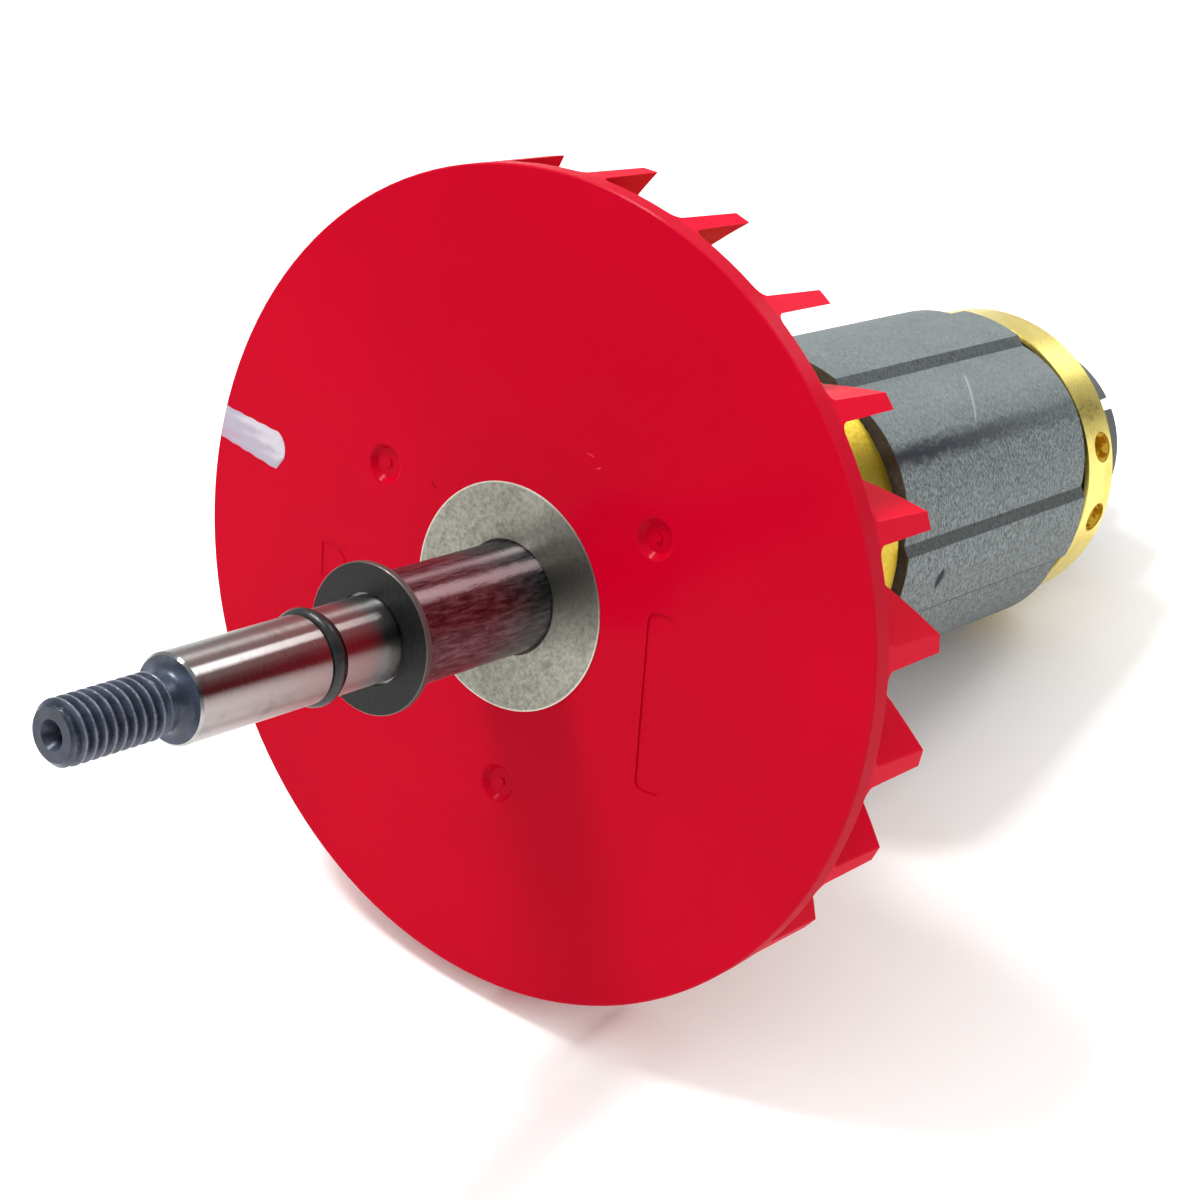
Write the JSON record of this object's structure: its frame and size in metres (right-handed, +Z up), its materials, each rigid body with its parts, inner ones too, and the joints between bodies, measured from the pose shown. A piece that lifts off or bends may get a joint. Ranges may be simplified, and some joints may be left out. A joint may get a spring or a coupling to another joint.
{
  "type": "permanent-magnet motor rotor with cooling fan",
  "caption": "Motor rotor: lobed lamination stack with magnets inside, brass balance rings, a cooling fan with a plain disc and 23 swept blades and a stepped shaft with a threaded end.",
  "frame": {"origin": "on the surface that the rotor lies on, under the middle of its length and width", "axes": "+X runs level from the threaded end to the rear journal, +Z is up, and the shaft's axis leans 16.2 degrees down towards +X"},
  "size_m": [0.2232, 0.1124, 0.1117],
  "materials": {
    "ground_steel": "ground bright on the step and the seats, black phosphated on the thread and its shoulder",
    "black_rubber": "smooth moulded",
    "black_oxide_steel": "black oxide, satin",
    "red_plastic": "satin moulded",
    "turned_steel": "fine turned face",
    "brass": "turned",
    "lamination_steel": "varnished blue-grey, with fine lines around it",
    "dark_disc": "matt",
    "magnet": "nickel plated"
  },
  "bodies": {
    "root": {"rotor_shaft": "ground_steel", "o_ring": "black_rubber", "thrust_washer": "black_oxide_steel", "cooling_fan": "red_plastic", "fan_hub_insert": "turned_steel", "front_balance_ring": "brass", "lamination_core": "lamination_steel", "rear_balance_ring": "brass", "sensor_disc": "dark_disc", "magnet_1_1": "magnet", "magnet_1_2": "magnet", "magnet_2_1": "magnet", "magnet_2_2": "magnet", "magnet_3_1": "magnet", "magnet_3_2": "magnet", "magnet_4_1": "magnet", "magnet_4_2": "magnet"}
  },
  "joints": []
}
